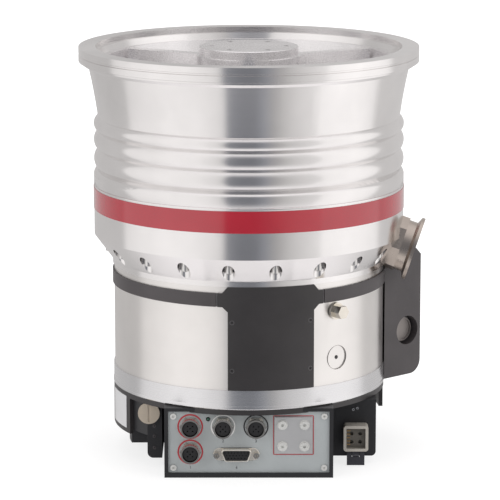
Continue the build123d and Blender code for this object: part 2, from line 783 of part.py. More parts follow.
# ---------------------------------------------------------------- under ring and skirts
under = tube(base_ring_radius, bearing_housing_radius, under_ring_bottom, base_bottom)
skirt_inner = base_ring_radius - skirt_thickness
under += sector(base_ring_radius, skirt_inner, left_skirt_bottom, base_bottom, *left_skirt_span)
under += sector(base_ring_radius, skirt_inner, right_skirt_bottom, base_bottom, *right_skirt_span)
keep("under_ring", under)
label_low, label_high = left_skirt_bottom + 4.0, base_bottom - 5.0
keep("type_label", sector(base_ring_radius + trim_thickness, base_ring_radius, label_low, label_high, 190.0, 207.0))

# ---------------------------------------------------------------- valve block with its coin-slot plug
valve = block(valve_left, valve_right, -valve_front, -valve_back - seat_gap, valve_lift, under_ring_bottom)
valve -= block(valve_left - 1, valve_left + valve_step_width, -valve_front - 1, -valve_back, 0, valve_step_top)
valve = fillet(valve.edges().filter_by(Axis.Y).group_by(Axis.Z)[0].sort_by(Axis.X)[0:1], valve_corner)
coin_spot = facing(-90, valve_front, coin_plug_level) * Pos(coin_plug_middle, 0, 0)
valve_radius = base_ring_radius - skirt_thickness - seat_gap
valve &= tube(valve_radius, 0, 0, electronics_height)
keep("valve_block", valve)
coin = peg(coin_plug_radius, coin_plug_height, 0)
coin -= Pos(0, 0, coin_plug_height) * Box(coin_slot, 2 * coin_plug_radius - 4, 2)
coin = coin_spot * coin
coin -= block(-200, 200, -200, 200, under_ring_bottom, 200)
keep("coin_plug", coin)

# ---------------------------------------------------------------- mains inlet with its locking lever
mains = block(half_box + seat_gap, mains_right, -mains_front, -mains_back - seat_gap, mains_lift, under_ring_bottom)
mains = fillet(mains.edges().filter_by(Axis.Y).group_by(Axis.Z)[0].sort_by(Axis.X)[1:], mains_corner)
inlet_spot = facing(-90, mains_front, inlet_level) * Pos(inlet_middle, 0, 0)
mains &= tube(base_ring_radius + 8, 0, 0, electronics_height)
keep("mains_block", mains)
frame_outer = Box(inlet_width, inlet_tall, inlet_length, align=(Align.CENTER, Align.CENTER, Align.MIN))
frame_outer = fillet(frame_outer.edges().filter_by(Axis.Z), 2.5)
opening = Box(inlet_width - 2 * inlet_rim, inlet_tall - 2 * inlet_rim, inlet_length * 2)
keep("mains_inlet_frame", inlet_spot * (frame_outer - opening))
inner_w, inner_h = inlet_width - 2 * inlet_rim, inlet_tall - 2 * inlet_rim
mains_insert = Box(inner_w, inner_h, inlet_length - inlet_insert_depth, align=(Align.CENTER, Align.CENTER, Align.MIN))
for x in (-contact_spacing / 2, contact_spacing / 2):
    for y in (-contact_spacing / 2, contact_spacing / 2):
        mains_insert -= Pos(x, y, inlet_length - inlet_insert_depth - 3) * peg(contact_radius, 5)
keep("mains_inlet_insert", inlet_spot * mains_insert)

pivot_z = inlet_level - inlet_tall / 2 - lever_knuckle
pivot_y = -(mains_front + inlet_length / 2)
pivot = Pos(inlet_middle, pivot_y, pivot_z) * Rot(0, 90, 0)
bracket = block(inlet_middle - lever_bracket / 2, inlet_middle + lever_bracket / 2, pivot_y, -mains_front,
                pivot_z - lever_knuckle + lever_gap, pivot_z + lever_knuckle - lever_gap)
bracket += pivot * Cylinder(lever_knuckle - lever_gap, lever_bracket)
keep("lever_bracket", bracket + pivot * Cylinder(lever_pin_radius, lever_width - 1))
lever_bore = lever_pin_radius + 0.05
lever = pivot * Cylinder(lever_knuckle - lever_gap, lever_width)
plate_back = pivot_y - lever_knuckle + lever_gap
lever += block(inlet_middle - lever_width / 2, inlet_middle + lever_width / 2, plate_back, plate_back + lever_thickness,
               lever_lift, pivot_z)
lever -= pivot * Cylinder(lever_knuckle + 2 * lever_gap, lever_bracket + 2 * lever_gap)
web = block(inlet_middle - lever_width / 2, inlet_middle + lever_width / 2, plate_back, plate_back + lever_thickness,
            lever_lift, pivot_z - lever_knuckle - 2 * lever_gap)
lever += web
keep("locking_lever", lever - pivot * Cylinder(lever_bore, 2 * lever_width))

for name, shape in bodies.items():
    export_step(shape, f"parts/{name}.step")
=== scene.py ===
"""Looks of the turbomolecular pump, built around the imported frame. Metres, +Z up."""

import math

import bmesh
import bpy
import numpy as np
from mathutils import Matrix, Vector


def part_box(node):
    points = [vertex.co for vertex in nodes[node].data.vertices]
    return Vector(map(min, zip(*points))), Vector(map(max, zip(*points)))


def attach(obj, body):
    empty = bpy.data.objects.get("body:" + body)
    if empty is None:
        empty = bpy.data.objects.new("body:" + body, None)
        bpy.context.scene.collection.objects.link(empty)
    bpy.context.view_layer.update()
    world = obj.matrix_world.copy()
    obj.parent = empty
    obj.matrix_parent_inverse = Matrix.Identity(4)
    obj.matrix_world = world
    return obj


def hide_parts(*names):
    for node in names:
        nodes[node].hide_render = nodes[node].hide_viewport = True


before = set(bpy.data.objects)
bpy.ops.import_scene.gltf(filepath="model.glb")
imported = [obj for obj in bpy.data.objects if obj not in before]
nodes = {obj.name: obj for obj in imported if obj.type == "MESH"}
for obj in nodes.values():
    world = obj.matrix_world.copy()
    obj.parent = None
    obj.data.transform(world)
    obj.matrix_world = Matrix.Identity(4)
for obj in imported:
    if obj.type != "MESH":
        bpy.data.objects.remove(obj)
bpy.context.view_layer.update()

MM = 0.001
PUMP = "pump_body"

# ---------------------------------------------------------------- driving values
inlet_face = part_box("upper_housing")[1].z
panel_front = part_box("connector_panel")[0].y
blank_low, blank_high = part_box("blank_plate")
connector_low, connector_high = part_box("signal_connector_shell")
casing_wall = 116.0 * MM

CAMERA_DISTANCE = 2.498      # metres in front of the pump axis
CAMERA_SIDE = 0.001          # metres to the right of the pump axis
CAMERA_RISE = 0.320          # metres above the inlet face
CAMERA_PITCH = 11.27         # degrees below the horizon
CAMERA_LENS = 212.5          # millimetres


# ---------------------------------------------------------------- node helpers
class Nodes:
    """Short ways to add nodes to a node tree; each returns the new node or its result."""

    def __init__(self, tree):
        self.tree = tree

    def node(self, kind, **settings):
        made = self.tree.nodes.new(kind)
        for key, value in settings.items():
            setattr(made, key, value)
        return made

    def link(self, source, target):
        self.tree.links.new(source, target)

    def fill(self, made, values):
        """Sets each input of a node to a number, or links a result to it."""
        for socket, value in zip(made.inputs, values):
            if isinstance(value, (int, float)):
                socket.default_value = value
            else:
                self.link(value, socket)
        return made.outputs[0]

    def math(self, operation, *values):
        return self.fill(self.node("ShaderNodeMath", operation=operation), values)

    def vector(self, x, y, z):
        return self.fill(self.node("ShaderNodeCombineXYZ"), (x, y, z))

    def split(self, vector):
        """The three parts of a vector."""
        made = self.node("ShaderNodeSeparateXYZ")
        self.link(vector, made.inputs[0])
        return made.outputs

    def noise(self, vector, scale, detail=3.0, roughness=0.55):
        made = self.node("ShaderNodeTexNoise")
        made.inputs["Scale"].default_value = scale
        made.inputs["Detail"].default_value = detail
        made.inputs["Roughness"].default_value = roughness
        self.link(vector, made.inputs["Vector"])
        return made.outputs["Fac"]

    def ramp(self, factor, stops):
        """Colours between stops, each (position from 0 to 1, colour)."""
        made = self.node("ShaderNodeValToRGB")
        elements = made.color_ramp.elements
        while len(elements) < len(stops):
            elements.new(0.5)
        for element, (position, colour) in zip(elements, stops):
            element.position = position
            element.color = (*colour, 1.0)
        self.link(factor, made.inputs["Fac"])
        return made.outputs["Color"]

    def spread(self, factor, low, high):
        """A factor from 0 to 1 spread over low to high."""
        made = self.node("ShaderNodeMapRange")
        made.inputs["To Min"].default_value = low
        made.inputs["To Max"].default_value = high
        self.link(factor, made.inputs["Value"])
        return made.outputs["Result"]

    def fade(self, value, start, end, low=0.0):
        """Low before start, 1 past end, and a smooth step between."""
        made = self.node("ShaderNodeMapRange", interpolation_type="SMOOTHSTEP")
        made.inputs["From Min"].default_value = start
        made.inputs["From Max"].default_value = end
        made.inputs["To Min"].default_value = low
        self.link(value, made.inputs["Value"])
        return made.outputs["Result"]

    def bump(self, height, strength, distance, below=None):
        """Shading normal of a height map, on top of another normal below."""
        made = self.node("ShaderNodeBump")
        made.inputs["Strength"].default_value = strength
        made.inputs["Distance"].default_value = distance
        self.link(height, made.inputs["Height"])
        if below is not None:
            self.link(below, made.inputs["Normal"])
        return made.outputs["Normal"]


class Finish(Nodes):
    """A material with its Principled shader, read through the object's own coordinates."""

    def __init__(self, name):
        self.material = bpy.data.materials.new(name)
        self.material.use_nodes = True
        super().__init__(self.material.node_tree)
        self.shader = self.tree.nodes["Principled BSDF"]
        self.where = self.node("ShaderNodeTexCoord").outputs["Object"]

    def set(self, **values):
        """Sets inputs of the shader; a name's _ stands for a space."""
        for name, value in values.items():
            self.shader.inputs[name.replace("_", " ")].default_value = value

    def feed(self, name, source):
        self.link(source, self.shader.inputs[name])

    def cloud(self, factor, colour, darkest, brightest):
        """Base colour from darkest to brightest; each is (position, share of the colour)."""
        stops = [(at, [min(1.0, c * share) for c in colour]) for at, share in (darkest, brightest)]
        self.feed("Base Color", self.ramp(factor, stops))


def cylinder_coords(made):
    """Radius sqrt(x^2 + y^2), angle atan2(y, x) and height z about the pump axis."""
    x, y, z = made.split(made.where)
    radius = made.math("SQRT", made.math("ADD", made.math("MULTIPLY", x, x), made.math("MULTIPLY", y, y)))
    angle = made.math("ARCTAN2", y, x)
    return radius, angle, z


def turned_metal(name, colour, roughness, groove=0.5, stain=0.06, swells=()):
    """Lathe-turned metal: fine rings about the pump axis and faint stains.

    Each swell (middle, half height, rise) adds the arc rise * (1 - ((z - middle) / half)^2) to the wall.
    """
    made = Finish(name)
    radius, angle, z = cylinder_coords(made)
    rings = made.noise(made.vector(radius, 0.0, z), 1500.0, 2.0)
    wide = made.noise(made.vector(radius, made.math("MULTIPLY", angle, 0.006), z), 320.0, 2.0)
    made.cloud(made.noise(made.where, 14.0, 4.0), colour, (0.3, 1.0 - stain), (0.7, 1.0 + stain))
    streaks = made.math("ADD", made.math("MULTIPLY", rings, 0.6), made.math("MULTIPLY", wide, 0.4))
    made.feed("Roughness", made.spread(streaks, roughness * 0.75, roughness * 1.3))
    made.set(Metallic=1.0, Anisotropic=0.8, Anisotropic_Rotation=0.25)
    made.feed("Tangent", made.node("ShaderNodeTangent", direction_type="RADIAL", axis="Z").outputs[0])
    below = None
    for middle, half, rise in swells:
        offset = made.math("DIVIDE", made.math("SUBTRACT", z, middle), half)
        arc = made.math("MAXIMUM", made.math("SUBTRACT", 1.0, made.math("MULTIPLY", offset, offset)), 0.0)
        below = made.bump(made.math("MULTIPLY", arc, rise), 1.0, 1.0, below)
    made.feed("Normal", made.bump(streaks, groove, 0.00003, below))
    return made.material


def milled_metal(name, colour, roughness, metallic=1.0):
    """Milled or ground metal: an even fine grain with slight cloudiness."""
    made = Finish(name)
    grain = made.noise(made.where, 960.0, 4.0, 0.7)
    made.cloud(made.noise(made.where, 30.0, 3.0), colour, (0.25, 0.92), (0.75, 1.08))
    made.feed("Roughness", made.spread(grain, roughness * 0.8, roughness * 1.25))
    made.set(Metallic=metallic)
    made.feed("Normal", made.bump(grain, 0.35, 0.00003))
    return made.material


def coated_black(name, colour, roughness, grain=900.0, depth=0.00006):
    """Black anodised or painted metal: a dull sheen, a fine tooth and dusty high spots."""
    made = Finish(name)
    tooth = made.noise(made.where, grain, 4.0, 0.65)
    made.cloud(made.noise(made.where, 22.0, 5.0, 0.6), colour, (0.3, 0.85), (0.75, 1.25))
    made.feed("Roughness", made.spread(tooth, roughness * 0.85, roughness * 1.15))
    made.feed("Normal", made.bump(tooth, 0.5, depth))
    return made.material


def moulded_plastic(name, colour, roughness):
    """Moulded plastic with a fine spark-eroded grain."""
    made = Finish(name)
    grain = made.noise(made.where, 1600.0, 3.0)
    made.cloud(grain, colour, (0.3, 0.9), (0.7, 1.1))
    made.feed("Roughness", made.spread(grain, roughness * 0.9, roughness * 1.15))
    made.feed("Normal", made.bump(grain, 0.3, 0.00004))
    return made.material


def printed_film(name, colour, roughness, coat=0.0, ior=1.5):
    """Printed film or ink: an even colour with a faint orange-peel surface."""
    made = Finish(name)
    peel = made.noise(made.where, 420.0, 2.0)
    made.cloud(made.noise(made.where, 35.0, 3.0), colour, (0.3, 0.95), (0.7, 1.05))
    made.feed("Roughness", made.spread(peel, roughness * 0.9, roughness * 1.1))
    made.set(IOR=ior, Coat_Weight=coat, Coat_Roughness=0.08)
    made.feed("Normal", made.bump(peel, 0.15, 0.00003))
    return made.material


# A soft rise in the band above the red stripe, and the fine groove under it.
band_swells = ((241.0 * MM, 6.8 * MM, 1.3 * MM), (233.0 * MM, 1.0 * MM, -0.4 * MM))
bright_housing = turned_metal("bright_turned_aluminium", (0.86, 0.845, 0.84), 0.20, swells=band_swells)
satin_casing = turned_metal("satin_turned_aluminium", (0.84, 0.82, 0.80), 0.30)
base_metal = turned_metal("base_turned_aluminium", (0.76, 0.76, 0.77), 0.26)
star_metal = milled_metal("milled_star_aluminium", (0.86, 0.845, 0.85), 0.26)
zinc = milled_metal("pale_zinc_screws", (0.60, 0.60, 0.58), 0.42, metallic=0.25)
# Dull steel darkened with painted shade: it stands for the shade in the hole of the flank cap and in the
# bore round the blind plug.
painted_recess_shade_metal = milled_metal("dull_steel_painted_recess_shade", (0.24, 0.22, 0.21), 0.42, metallic=0.7)
rotor_metal = milled_metal("milled_blade_aluminium", (0.66, 0.66, 0.68), 0.26)
screw_steel = milled_metal("bright_screw_steel", (0.70, 0.69, 0.68), 0.22)
port_steel = turned_metal("electropolished_port_steel", (0.52, 0.46, 0.41), 0.28, stain=0.1)
nickel = milled_metal("nickel_plate", (0.74, 0.70, 0.63), 0.16)
stripe_red = printed_film("red_stripe_film", (0.36, 0.006, 0.020), 0.12, coat=0.8, ior=1.65)
anodised = coated_black("black_anodised_plate", (0.026, 0.0235, 0.0245), 0.40)
anodised_trim = coated_black("grey_anodised_trim", (0.052, 0.046, 0.048), 0.42)
cast_black = coated_black("black_cast_coat", (0.016, 0.016, 0.018), 0.46, grain=600.0, depth=0.0001)
panel_paint = printed_film("grey_panel_paint", (0.36, 0.385, 0.39), 0.4, coat=0.15)
black_mould = moulded_plastic("black_moulding", (0.014, 0.014, 0.015), 0.42)
insert_mould = moulded_plastic("grey_contact_moulding", (0.10, 0.09, 0.075), 0.5)
lever_mould = moulded_plastic("slate_lever_moulding", (0.032, 0.032, 0.040), 0.4)
beige_cast = milled_metal("beige_die_casting", (0.50, 0.47, 0.42), 0.48, metallic=0.35)
pale_plate = milled_metal("pale_cover_plate", (0.66, 0.66, 0.66), 0.42, metallic=0.75)
coin_metal = milled_metal("warm_plug_metal", (0.66, 0.57, 0.46), 0.36, metallic=0.6)
dark_magnet = milled_metal("dark_sintered_magnet", (0.16, 0.16, 0.17), 0.5)
label_film = printed_film("pale_label_film", (0.62, 0.62, 0.63), 0.3, coat=0.3)
ink_red = printed_film("red_ink", (0.42, 0.03, 0.04), 0.5)
ink_black = printed_film("black_ink", (0.02, 0.02, 0.022), 0.5)
ink_white = printed_film("white_ink", (0.75, 0.75, 0.74), 0.5)
rubber = moulded_plastic("black_seal_rubber", (0.015, 0.015, 0.015), 0.6)
board_green = printed_film("green_board_lacquer", (0.02, 0.16, 0.07), 0.3, coat=0.5)
fibre_black = coated_black("black_fibre_sleeve", (0.02, 0.02, 0.022), 0.35)
tin_plate = milled_metal("tin_plated_shell", (0.80, 0.76, 0.69), 0.30, metallic=0.75)
contact_brass = milled_metal("worn_contact_brass", (0.40, 0.26, 0.12), 0.35, metallic=0.8)
trim_rim = coated_black("worn_screw_rim", (0.10, 0.095, 0.10), 0.3)
lamp_lens = printed_film("green_lamp_lens", (0.03, 0.09, 0.06), 0.12, coat=1.0)

finishes = {
    bright_housing: ["upper_housing"],
    satin_casing: ["motor_casing", "blind_plug"],
    base_metal: ["base_ring", "bearing_housing", "drag_stator", "stator_spacers"],
    star_metal: ["bearing_star", "star_cap"],
    rotor_metal: [n for n in nodes if n.startswith(("rotor_stage", "stator_stage"))] + ["rotor_bell"],
    zinc: ["panel_screws"],
    # The flank cap's dark colour is painted shade of the hole it sits in.
    painted_recess_shade_metal: ["flank_cap"],
    screw_steel: ["housing_screws", "star_cap_screws", "rotor_shaft",
                  "bearing_balls", "bearing_inner_race", "bearing_outer_race"],
    port_steel: ["foreline_collar", "foreline_flange"],
    nickel: ["round_socket_shells", "signal_connector_shell", "signal_connector_posts", "vent_screw"],
    stripe_red: ["colour_stripe"],
    anodised: ["casing_cover_plate", "under_ring", "cover_plate_screws"],
    anodised_trim: ["casing_strap", "flank_housing"],
    cast_black: ["electronics_housing", "valve_block", "mains_block"],
    panel_paint: ["connector_panel"],
    black_mould: ["round_socket_inserts", "signal_connector_core"],
    insert_mould: ["mains_inlet_insert"],
    lever_mould: ["locking_lever", "lever_bracket"],
    beige_cast: ["mains_inlet_frame"],
    pale_plate: ["blank_plate"],
    coin_metal: ["coin_plug"],
    dark_magnet: ["motor_stator", "motor_magnet", "bearing_magnets_fixed", "bearing_magnets_turning"],
    label_film: ["type_label"],
    rubber: ["casing_seal"],
    board_green: ["circuit_board"],
    fibre_black: ["drag_sleeve"],
}
for material, names in finishes.items():
    for name in names:
        mesh = nodes[name].data
        mesh.materials.clear()
        mesh.materials.append(material)


# ---------------------------------------------------------------- mesh helpers
def finish_piece(name, points, faces, material, slot, body=PUMP, smooth=True):
    """Makes a mesh piece from points and faces, with its faces outwards, and lets it ride on a body."""
    mesh = bpy.data.meshes.new(name)
    mesh.from_pydata(np.asarray(points).tolist(), [], [list(map(int, f)) for f in faces])
    work = bmesh.new()
    work.from_mesh(mesh)
    bmesh.ops.remove_doubles(work, verts=work.verts, dist=1e-7)
    bmesh.ops.recalc_face_normals(work, faces=work.faces)
    work.to_mesh(mesh)
    work.free()
    piece = bpy.data.objects.new(name, mesh)
    bpy.context.scene.collection.objects.link(piece)
    mesh.materials.append(material)
    if smooth:
        mesh.polygons.foreach_set("use_smooth", [True] * len(mesh.polygons))
        mesh.set_sharp_from_angle(angle=math.radians(35))
    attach(piece, body)
    return piece


def placed(points, place):
    """Points turned and moved by a place: place * point."""
    return points @ np.array(place.to_3x3()).T + np.array(place.translation)


def ring_faces(rows, count):
    """Faces of a grid of points that closes both ways: row i to i + 1, and point j to j + 1."""
    i, j = np.meshgrid(np.arange(rows), np.arange(count), indexing="ij")
    after_i, after_j = (i + 1) % rows, (j + 1) % count
    corners = [i * count + j, after_i * count + j, after_i * count + after_j, i * count + after_j]
    return np.stack(corners, axis=-1).reshape(-1, 4)


def lathe(profile, place, segments=96):
    """Closed ring: the closed profile is turned about the place's Z axis.

    At turn t the profile's point (r, h) is at (r cos t, r sin t, h).
    """
    profile = np.array(profile, float)
    turn = np.linspace(0, 2 * np.pi, segments, endpoint=False)
    r, h = profile[:, 0], profile[:, 1]
    rings = [np.outer(np.cos(turn), r), np.outer(np.sin(turn), r), np.tile(h, (segments, 1))]
    return placed(np.stack(rings, axis=-1).reshape(-1, 3), place), ring_faces(segments, len(profile))


def panel_place(x, z, proud=0.0):
    """Place on the connector panel, or proud of it, with Z towards the front."""
    turn = Matrix(((1, 0, 0), (0, 0, -1), (0, 1, 0))).to_4x4()
    return Matrix.Translation((x, panel_front - proud, z)) @ turn


INK = 0.12 * MM      # how far print stands off the panel


def flat_ring(name, x, z, inner, outer, material, slot):
    """Thin printed ring on the panel."""
    points, faces = lathe([(inner, 0), (outer, 0), (outer, INK), (inner, INK)], panel_place(x, z), 72)
    finish_piece(name, points, faces, material, slot, smooth=False)


def strip(name, start, end, width, material, slot):
    """Thin printed line on the panel between two (x, z) points."""
    a, b = np.array(start), np.array(end)
    along = (b - a) / np.linalg.norm(b - a)
    side = np.array([-along[1], along[0]]) * width / 2
    flat = [a - side, b - side, b + side, a + side]
    points = [(x, y, z) for y in (panel_front, panel_front - INK) for x, z in flat]
    faces = [(0, 1, 2, 3), (4, 5, 6, 7), (0, 1, 5, 4), (1, 2, 6, 5), (2, 3, 7, 6), (3, 0, 4, 7)]
    finish_piece(name, points, faces, material, slot, smooth=False)


def numeral(name, text, x, z, size):
    """Plain printed number on the panel, half of its thickness sunk in it."""
    half_ink = 0.05 * MM
    curve = bpy.data.curves.new(name, "FONT")
    curve.body = text
    curve.size = size
    curve.align_x = "CENTER"
    curve.align_y = "CENTER"
    curve.extrude = half_ink
    text_object = bpy.data.objects.new(name + "_curve", curve)
    bpy.context.scene.collection.objects.link(text_object)
    mesh = bpy.data.meshes.new_from_object(text_object)
    bpy.data.objects.remove(text_object)
    mesh.transform(panel_place(x, z, half_ink))
    piece = bpy.data.objects.new(name, mesh)
    bpy.context.scene.collection.objects.link(piece)
    mesh.materials.clear()
    mesh.materials.append(ink_black)
    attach(piece, PUMP)


def upright(radius, angle, height):
    """Place at a radius, an angle and a height about the pump axis, with Z up."""
    return Matrix.Translation((radius * math.cos(angle), radius * math.sin(angle), height))


def joined(parts):
    """Points and faces of several meshes as one: each mesh's faces count on from the points before."""
    points = np.concatenate([p for p, _ in parts])
    starts = np.cumsum([0] + [len(p) for p, _ in parts[:-1]])
    return points, np.concatenate([np.array(faces) + start for start, (_, faces) in zip(starts, parts)])


def mesh_points(name):
    """Points of a node's mesh as an array."""
    mesh = nodes[name].data
    flat = np.empty(3 * len(mesh.vertices))
    mesh.vertices.foreach_get("co", flat)
    return flat.reshape(-1, 3)


def rounded_outline(width, height, slope, corner, count=7):
    """Trapezoid with the wide side up, as (x, z) points, with its corners rounded.

    A corner's arc is its centre plus corner * (cos t, sin t) over a quarter turn, and its centre
    stands corner inside the trapezoid's corner both ways.
    """
    right, top = width / 2, height / 2
    middles = np.array([(right, top), (-right, top), (slope - right, -top), (right - slope, -top)])
    middles -= np.copysign(corner, middles)
    t = np.radians(90 * np.arange(4)[:, None] + np.linspace(0, 90, count))
    arcs = np.stack([np.cos(t), np.sin(t)], axis=-1) * corner
    return (middles[:, None] + arcs).reshape(-1, 2)


def stack_loops(loops, place):
    """Skin over loops of the same length, each ((x, y) points, height), closed back to the first.

    Face (k, i) joins points i and i + 1 of loop k to the same points of loop k + 1.
    """
    count = len(loops[0][0])
    local = np.concatenate([np.column_stack([outline, np.full(count, level)]) for outline, level in loops])
    return placed(local, place), ring_faces(len(loops), count)


def screw_on_front(x, z, front, radius, height):
    """Round screw head with a round recess, looking to the front from the depth front."""
    place = panel_place(x, z, panel_front - front)
    recess = radius * 0.4
    profile = [(recess, 0), (radius, 0), (radius, height * 0.6), (radius * 0.85, height), (recess, height)]
    return lathe(profile, place, 32)


def wall_place(azimuth, radius, height):
    """Place on the round casing wall, with Z outwards and X along the wall."""
    a = math.radians(azimuth)
    turn = Matrix(((-math.sin(a), 0, math.cos(a)), (math.cos(a), 0, math.sin(a)), (0, 1, 0))).to_4x4()
    return Matrix.Translation((radius * math.cos(a), radius * math.sin(a), height)) @ turn


def node_spots(name):
    """Middle azimuth in degrees, radius and height of each patch of joined faces in a node.

    A node's faces are joined only within one surface, so a screw gives several patches. Each point
    takes the lowest number that its edges lead to, and points with the same number are one patch.
    """
    points = mesh_points(name)
    mesh = nodes[name].data
    edges = np.empty(2 * len(mesh.edges), int)
    mesh.edges.foreach_get("vertices", edges)
    one, other = edges.reshape(-1, 2).T
    patch = np.arange(len(points))
    before = None
    while not np.array_equal(before, patch):
        before = patch.copy()
        least = np.minimum(patch[one], patch[other])
        np.minimum.at(patch, one, least)
        np.minimum.at(patch, other, least)
    middles = [points[patch == p].mean(axis=0) for p in np.unique(patch)]
    return [(math.degrees(math.atan2(m[1], m[0])), math.hypot(m[0], m[1]), m[2]) for m in middles]


BOX_FACES = [(0, 1, 3, 2), (4, 5, 7, 6), (0, 1, 5, 4), (2, 3, 7, 6), (0, 2, 6, 4), (1, 3, 7, 5)]


def box_corners(size):
    """Corners of a box about the origin: plus and minus half of each size."""
    return np.array([(x, y, z) for x in (-0.5, 0.5) for y in (-0.5, 0.5) for z in (-0.5, 0.5)]) * size


def wall_block(azimuth, radius, height, size):
    """Box against the casing wall; size is along the wall, upwards and outwards."""
    return placed(box_corners(size), wall_place(azimuth, radius, height)), BOX_FACES


# ---------------------------------------------------------------- print on the connector panel
socket_low, socket_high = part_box("round_socket_inserts")
insert_radius = 6.6 * MM
left_column = socket_low.x + insert_radius
right_column = socket_high.x - insert_radius
lower_row = socket_low.z + insert_radius
upper_row = socket_high.z - insert_radius
middle_column = left_column + 27.4 * MM
flat_ring("socket_mark_upper_red", left_column, upper_row, 9.5 * MM, 10.8 * MM, ink_red, "stripe_red")
flat_ring("socket_mark_lower_red", left_column, lower_row, 9.5 * MM, 10.8 * MM, ink_red, "stripe_red")
flat_ring("socket_mark_white", middle_column, upper_row, 9.3 * MM, 10.3 * MM, ink_white, "label_white")
flat_ring("socket_mark_black", right_column, upper_row, 9.4 * MM, 10.5 * MM, ink_black, "black_plastic")
numeral_size = 3.6 * MM
connector_middle = (connector_low + connector_high) / 2
numeral("socket_number_1", "1", left_column, lower_row - 13.6 * MM, numeral_size)
numeral("socket_number_2", "2", middle_column, upper_row - 12.6 * MM, numeral_size)
numeral("socket_number_3", "3", right_column, upper_row - 12.6 * MM, numeral_size)
numeral("socket_number_4", "4", connector_middle.x, connector_low.z - 5.6 * MM, numeral_size)
frame_margin = 0.9 * MM
corners = [
    (blank_low.x - frame_margin, blank_low.z - frame_margin),
    (blank_high.x + frame_margin, blank_low.z - frame_margin),
    (blank_high.x + frame_margin, blank_high.z + frame_margin),
    (blank_low.x - frame_margin, blank_high.z + frame_margin),
]
for index in range(4):
    ends = corners[index], corners[(index + 1) % 4]
    strip(f"blank_plate_mark_{index + 1}", *ends, 0.7 * MM, ink_red, "stripe_red")

# ---------------------------------------------------------------- screws in the pockets of the cone
screw_low, screw_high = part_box("housing_screws")
screw_points = mesh_points("housing_screws")
screw_count = 20
screw_step = 2 * math.pi / screw_count
screw_circle = 121.2 * MM
first_screw = math.radians(-79.7)
screw_angles = np.arctan2(screw_points[:, 1], screw_points[:, 0])
pockets_used = sorted({int(v) % screw_count for v in np.round((screw_angles - first_screw) / screw_step)})
head, socket, edge = 3.1 * MM, 1.4 * MM, 0.6 * MM
head_low, head_high = screw_low.z + 9.0 * MM, screw_high.z
head_profile = [
    (socket, head_low + 2 * MM), (socket, head_low), (head - edge, head_low), (head, head_low + edge),
    (head, head_high), (socket, head_high),
]
heads = [
    lathe(head_profile, upright(screw_circle, first_screw + screw_step * k, 0), 32) for k in pockets_used
]
heads_piece = finish_piece("pocket_screw_heads", *joined(heads), screw_steel, "steel")
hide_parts("housing_screws")

# ---------------------------------------------------------------- red stripe with its two rounded edges
stripe_low, stripe_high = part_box("colour_stripe")
stripe_rise, stripe_edge = 2.3 * MM, 0.15 * MM
stripe_radius, wall_radius = stripe_high.x, stripe_high.x - 0.4 * MM
stripe_bottom, stripe_top = stripe_low.z + stripe_rise, stripe_high.z + stripe_rise
stripe_profile = [
    (wall_radius, stripe_bottom), (stripe_radius - stripe_edge, stripe_bottom),
    (stripe_radius, stripe_bottom + stripe_edge), (stripe_radius, stripe_top - stripe_edge),
    (stripe_radius - stripe_edge, stripe_top), (wall_radius, stripe_top),
]
stripe_ring = lathe(stripe_profile, Matrix.Identity(4), 320)
stripe_piece = finish_piece("red_stripe_band", *stripe_ring, stripe_red, "stripe_red")
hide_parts("colour_stripe")

# ---------------------------------------------------------------- bright lip under the base ring
ring_low, ring_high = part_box("base_ring")
# Millimetres out and up from the ring's lower edge.
lip_steps = [(-1.2, 0.9), (-1.2, -1.3), (0.1, -1.3), (0.5, -0.7), (0.3, 1.2), (-0.1, 2.0)]
lip_profile = [(ring_high.x + out * MM, ring_low.z + up * MM) for out, up in lip_steps]
finish_piece("base_ring_lip", *lathe(lip_profile, Matrix.Identity(4), 256), base_metal, "base_aluminium")

# ---------------------------------------------------------------- shell of the fifteen-way connector
shell_place = panel_place(connector_middle.x, connector_middle.z)
shell_length = panel_front - connector_low.y
wide, tall, slant = 25.0 * MM, 10.4 * MM, 2.0 * MM
wall, lip = 0.9 * MM, 0.35 * MM
outside = rounded_outline(wide, tall, slant, 2.6 * MM)
outside_lip = rounded_outline(wide - 2 * lip, tall - 2 * lip, slant, 2.3 * MM)
inside = rounded_outline(wide - 2 * wall, tall - 2 * wall, slant, 1.9 * MM)
shell_loops = [
    (outside, 0.0), (outside, shell_length - lip), (outside_lip, shell_length),
    (inside, shell_length), (inside, 0.0),
]
ear = rounded_outline(38.8 * MM, 10.6 * MM, 0.0, 5.2 * MM)
ear_edge = rounded_outline(38.2 * MM, 10.0 * MM, 0.0, 4.9 * MM)
hole = rounded_outline(22.0 * MM, 7.0 * MM, 1.8 * MM, 1.8 * MM)
ear_thickness = 0.9 * MM
ear_loops = [(ear, 0.0), (ear, 0.6 * MM), (ear_edge, ear_thickness), (hole, ear_thickness), (hole, 0.0)]
shell_meshes = [stack_loops(loops, shell_place) for loops in (shell_loops, ear_loops)]
shell_piece = finish_piece("signal_connector_rounded_shell", *joined(shell_meshes), tin_plate, "nickel")
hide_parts("signal_connector_shell")

# ---------------------------------------------------------------- washers, lamp and small screws
blank_middle = (blank_low + blank_high) / 2
blank_proud = panel_front - blank_low.y
washer_share = 0.2937        # of the plate's width, from its middle to a washer's
washer_reach = (blank_high.x - blank_low.x) * washer_share
washer_bore, washer_radius, washer_thickness = 3.0 * MM, 4.3 * MM, 0.7 * MM
washer_profile = [
    (washer_bore, 0), (washer_radius, 0), (washer_radius, 0.5 * MM), (4.0 * MM, washer_thickness),
    (washer_bore, washer_thickness),
]
washers = [
    lathe(washer_profile, panel_place(blank_middle.x + side, blank_middle.z + rise, blank_proud), 48)
    for side in (-washer_reach, washer_reach) for rise in (-washer_reach, washer_reach)
]
finish_piece("blank_plate_washers", *joined(washers), zinc, "steel")

